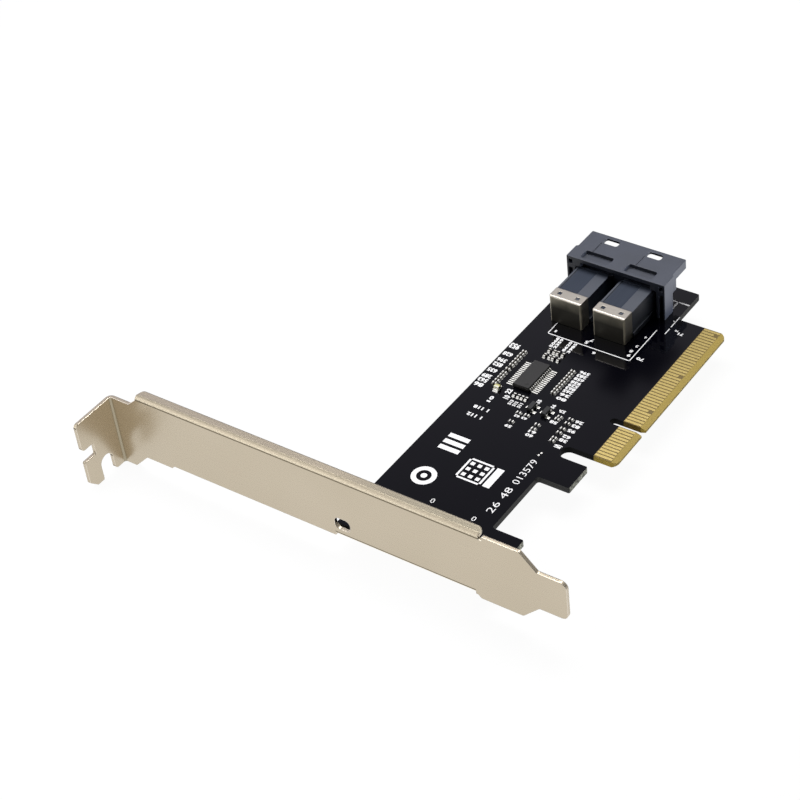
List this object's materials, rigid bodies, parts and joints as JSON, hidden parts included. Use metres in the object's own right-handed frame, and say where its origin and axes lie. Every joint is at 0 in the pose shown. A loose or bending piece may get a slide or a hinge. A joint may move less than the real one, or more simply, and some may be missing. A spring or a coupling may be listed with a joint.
{
  "type": "nvme adapter card",
  "caption": "Expansion card with a folded slot bracket, gold edge fingers and internal cable ports, for linking solid-state drives to a server slot.",
  "frame": {"origin": "middle of the key notch, on the finger edge of the board and its component face", "axes": "+X along the board away from the bracket, +Y from the finger edge towards the ear, +Z out of the component face"},
  "size_m": [0.1195, 0.121, 0.0222],
  "materials": {
    "board_mask": "glossy black solder mask",
    "gold_plate": "gold-plated contact",
    "bracket_steel": "satin plated sheet steel",
    "screw_steel": "bright zinc-plated steel",
    "housing_plastic": "dark moulded plastic",
    "module_plastic": "black moulded plastic",
    "cap_nickel": "bright nickel-plated sheet",
    "tinned_copper": "bright tin plate",
    "chip_epoxy": "black moulding compound",
    "light_base": "white moulded base",
    "light_lens": "clear yellowish resin",
    "capacitor_ceramic": "fired tan ceramic",
    "resistor_glaze": "black glaze on ceramic"
  },
  "bodies": {
    "root": {"circuit_board": "board_mask", "edge_fingers_component_side": "gold_plate", "edge_fingers_solder_side": "gold_plate", "slot_bracket": "bracket_steel", "bracket_screws": "screw_steel", "port_housing": "housing_plastic", "clock_chip_body": "chip_epoxy", "clock_chip_leads": "tinned_copper", "transistor_bodies": "chip_epoxy", "transistor_leads": "tinned_copper", "status_light_base": "light_base", "status_light_lens": "light_lens", "status_light_terminals": "tinned_copper", "upper_contact_module": "module_plastic", "upper_module_end_cap": "cap_nickel", "upper_port_contacts": "gold_plate", "upper_port_tails": "tinned_copper", "lower_contact_module": "module_plastic", "lower_module_end_cap": "cap_nickel", "lower_port_contacts": "gold_plate", "lower_port_tails": "tinned_copper", "upper_capacitor_bodies": "capacitor_ceramic", "upper_capacitor_terminals": "tinned_copper", "lower_capacitor_bodies": "capacitor_ceramic", "lower_capacitor_terminals": "tinned_copper", "port_capacitor_bodies": "capacitor_ceramic", "port_capacitor_terminals": "tinned_copper", "pull_up_resistor_bodies": "resistor_glaze", "pull_up_resistor_terminals": "tinned_copper", "strap_resistor_bodies": "resistor_glaze", "strap_resistor_terminals": "tinned_copper", "shoulder_resistor_bodies": "resistor_glaze", "shoulder_resistor_terminals": "tinned_copper"}
  },
  "joints": []
}
